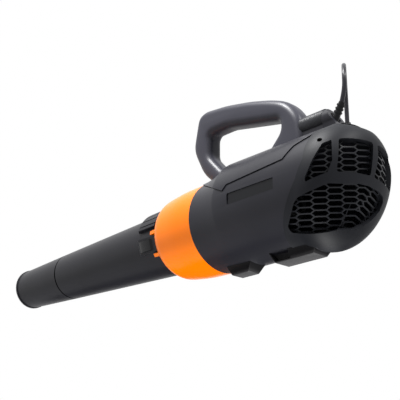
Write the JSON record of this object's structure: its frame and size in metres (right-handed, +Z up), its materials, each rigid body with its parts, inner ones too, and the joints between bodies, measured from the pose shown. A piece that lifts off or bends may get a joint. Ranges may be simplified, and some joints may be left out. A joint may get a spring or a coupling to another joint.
{
  "type": "leaf blower",
  "caption": "Corded in-line leaf blower: round motor body with a carrying handle and rear intake grille, coloured fan duct ring and a long tapered tube with a pull-off nozzle.",
  "frame": {"origin": "middle of the blower's box without the cord, on the surface that its feet stand on", "axes": "+Z up, -X along the blower tube towards the outlet, +X towards the intake grille, -Y the left flank"},
  "size_m": [0.8612, 0.166, 0.3015],
  "materials": {
    "housing_black": "fine satin grain",
    "duct_orange": "gloss moulded",
    "tube_black": "fine satin grain",
    "screen_black": "satin",
    "fan_black": "satin",
    "button_black": "satin",
    "cord_black": "smooth",
    "seal_rubber": "smooth",
    "steel": "turned",
    "lamination": "stacked sheet",
    "copper": "enamelled copper wire",
    "brass": "bright",
    "carbon": "pressed carbon",
    "module_grey": "potted"
  },
  "bodies": {
    "blower_body": {"housing_left": "housing_black", "housing_right": "housing_black", "handle_left": "housing_black", "handle_right": "housing_black", "handle_screws": "steel", "dial_pin": "steel", "speed_module": "module_grey", "suppressor": "module_grey", "rear_cover": "housing_black", "cover_screws": "steel", "intake_screen": "screen_black", "fan_duct": "duct_orange", "tube_seal": "seal_rubber", "guide_vanes": "fan_black", "outlet_cone": "fan_black", "motor_pod": "fan_black", "tail_cone": "fan_black", "front_bearing": "steel", "rear_bearing": "steel", "front_bracket": "fan_black", "rear_bracket": "fan_black", "field_core": "lamination", "field_coils": "copper", "brushes": "carbon", "brush_holders": "brass", "brush_springs": "steel", "front_foot": "housing_black", "rear_foot": "housing_black", "cord_barrel": "cord_black", "cord_guard": "cord_black", "cord": "cord_black", "cord_plug": "cord_black", "plug_blades": "brass"},
    "rotor": {"fan": "fan_black", "fan_nut": "steel", "shaft": "steel", "armature_core": "lamination", "armature_winding": "copper", "commutator": "copper"},
    "tube": {"blower_tube": "tube_black"},
    "nozzle": {"nozzle_tip": "tube_black"},
    "latch_left_button": {"latch_left": "button_black"},
    "latch_right_button": {"latch_right": "button_black"},
    "dial": {"speed_dial": "button_black"}
  },
  "joints": [
    {"name": "fan_spin", "type": "hinge", "parent": "blower_body", "child": "rotor", "pos_m": [0.12643, 0, 0.088], "axis": [1, 0, 0], "continuous": true},
    {"name": "tube_pull", "type": "slide", "parent": "blower_body", "child": "tube", "axis": [-1, 0, 0], "range_m": [0, 0.06]},
    {"name": "nozzle_pull", "type": "slide", "parent": "tube", "child": "nozzle", "axis": [-1, 0, 0], "range_m": [0, 0.05]},
    {"name": "left_latch_press", "type": "slide", "parent": "tube", "child": "latch_left_button", "axis": [0, 0.9659, 0.2588], "range_m": [0, 0.003], "stiffness_N_per_m": 900},
    {"name": "right_latch_press", "type": "slide", "parent": "tube", "child": "latch_right_button", "axis": [0, -0.9659, 0.2588], "range_m": [0, 0.003], "stiffness_N_per_m": 900},
    {"name": "speed_turn", "type": "hinge", "parent": "blower_body", "child": "dial", "pos_m": [0.12043, 0, 0.2865], "axis": [0, 1, 0], "range_deg": [0, 270]}
  ]
}
